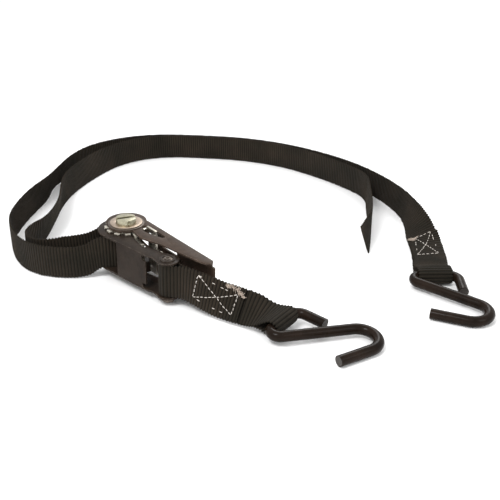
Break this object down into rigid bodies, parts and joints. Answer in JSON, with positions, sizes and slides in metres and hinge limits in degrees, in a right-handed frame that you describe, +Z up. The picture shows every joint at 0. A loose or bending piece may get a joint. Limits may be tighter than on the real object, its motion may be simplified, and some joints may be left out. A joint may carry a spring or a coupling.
{
  "type": "ratchet strap",
  "caption": "Ratchet tie-down strap: webbing on edge in a wide loop from a closed hand ratchet, sewn ends, vinyl-dipped S-hook at each end, free cut tail.",
  "frame": {"origin": "on the ground under the middle of the ratchet, short strap and both hooks", "axes": "+X along the row of ratchet and hooks towards the hooks, +Y towards the far side of the webbing's loop, +Z up"},
  "size_m": [0.3628, 0.4179, 0.0438],
  "materials": {
    "webbing": "ribbed black polyester webbing, dull, with a faint sheen",
    "thread": "off-white sewing thread",
    "frame_paint": "brown-black semi-gloss paint on steel",
    "handle_paint": "brown-black semi-gloss paint on steel",
    "zinc": "zinc-plated steel with a warm tint",
    "bolt_steel": "dark plated steel fasteners",
    "spring_steel": "bare spring wire",
    "hook_core": "cut steel wire, darkened",
    "vinyl": "glossy black dipped vinyl"
  },
  "bodies": {
    "root": {"frame": "frame_paint", "anchor_bolt": "bolt_steel", "anchor_nut": "bolt_steel", "anchor_sleeve": "zinc", "lock_pawl_spring": "spring_steel", "load_strap": "webbing", "tail_strap": "webbing", "rear_stitching": "thread"},
    "spool": {"spool_bar_front": "zinc", "spool_bar_back": "zinc", "ratchet_wheel_upper": "zinc", "ratchet_wheel_lower": "zinc", "rim_washer_upper": "bolt_steel", "rim_washer_lower": "bolt_steel", "end_disc_upper": "zinc", "end_disc_lower": "zinc", "retaining_pins": "zinc", "spool_wrap": "webbing"},
    "handle": {"handle": "handle_paint", "drive_pawl_spring": "spring_steel"},
    "drive_pawl": {"drive_pawl": "zinc"},
    "lock_pawl": {"lock_pawl": "zinc"},
    "short_strap": {"short_strap": "webbing", "short_stitching": "thread"},
    "front_hook": {"front_hook_wire": "hook_core", "front_hook_coating": "vinyl"},
    "rear_hook": {"rear_hook_wire": "hook_core", "rear_hook_coating": "vinyl"}
  },
  "joints": [
    {"name": "spool_turn", "type": "hinge", "parent": "root", "child": "spool", "pos_m": [-0.1193, 0.0567, 0.0213], "axis": [0.0259, -0.0234, 0.9994], "continuous": true},
    {"name": "handle_swing", "type": "hinge", "parent": "root", "child": "handle", "pos_m": [-0.1193, 0.0567, 0.0213], "axis": [0.0259, -0.0234, 0.9994], "range_deg": [0, 145]},
    {"name": "drive_pawl_pull", "type": "slide", "parent": "handle", "child": "drive_pawl", "axis": [0.6342, -0.7724, -0.0345], "range_m": [0, 0.004], "stiffness_N_per_m": 600, "springref_m": -0.003, "deforming": ["drive_pawl_spring"]},
    {"name": "lock_pawl_pull", "type": "slide", "parent": "root", "child": "lock_pawl", "axis": [0.4842, -0.8743, -0.033], "range_m": [0, 0.003], "stiffness_N_per_m": 600, "springref_m": -0.003, "deforming": ["lock_pawl_spring"]},
    {"name": "short_strap_swing", "type": "hinge", "parent": "root", "child": "short_strap", "pos_m": [-0.08377, 0.00654, 0.01921], "axis": [0.0259, -0.0234, 0.9994], "range_deg": [-25, 0]},
    {"name": "front_hook_swing", "type": "hinge", "parent": "short_strap", "child": "front_hook", "pos_m": [-0.00688, -0.03281, 0.00731], "axis": [0.5948, 0.8034, 0.028], "range_deg": [-80, 80]},
    {"name": "rear_hook_swing", "type": "hinge", "parent": "root", "child": "rear_hook", "pos_m": [0.10833, 0.0351, 0.0063], "axis": [0.9997, -0.0106, 0.0203], "range_deg": [-100, 100]}
  ]
}
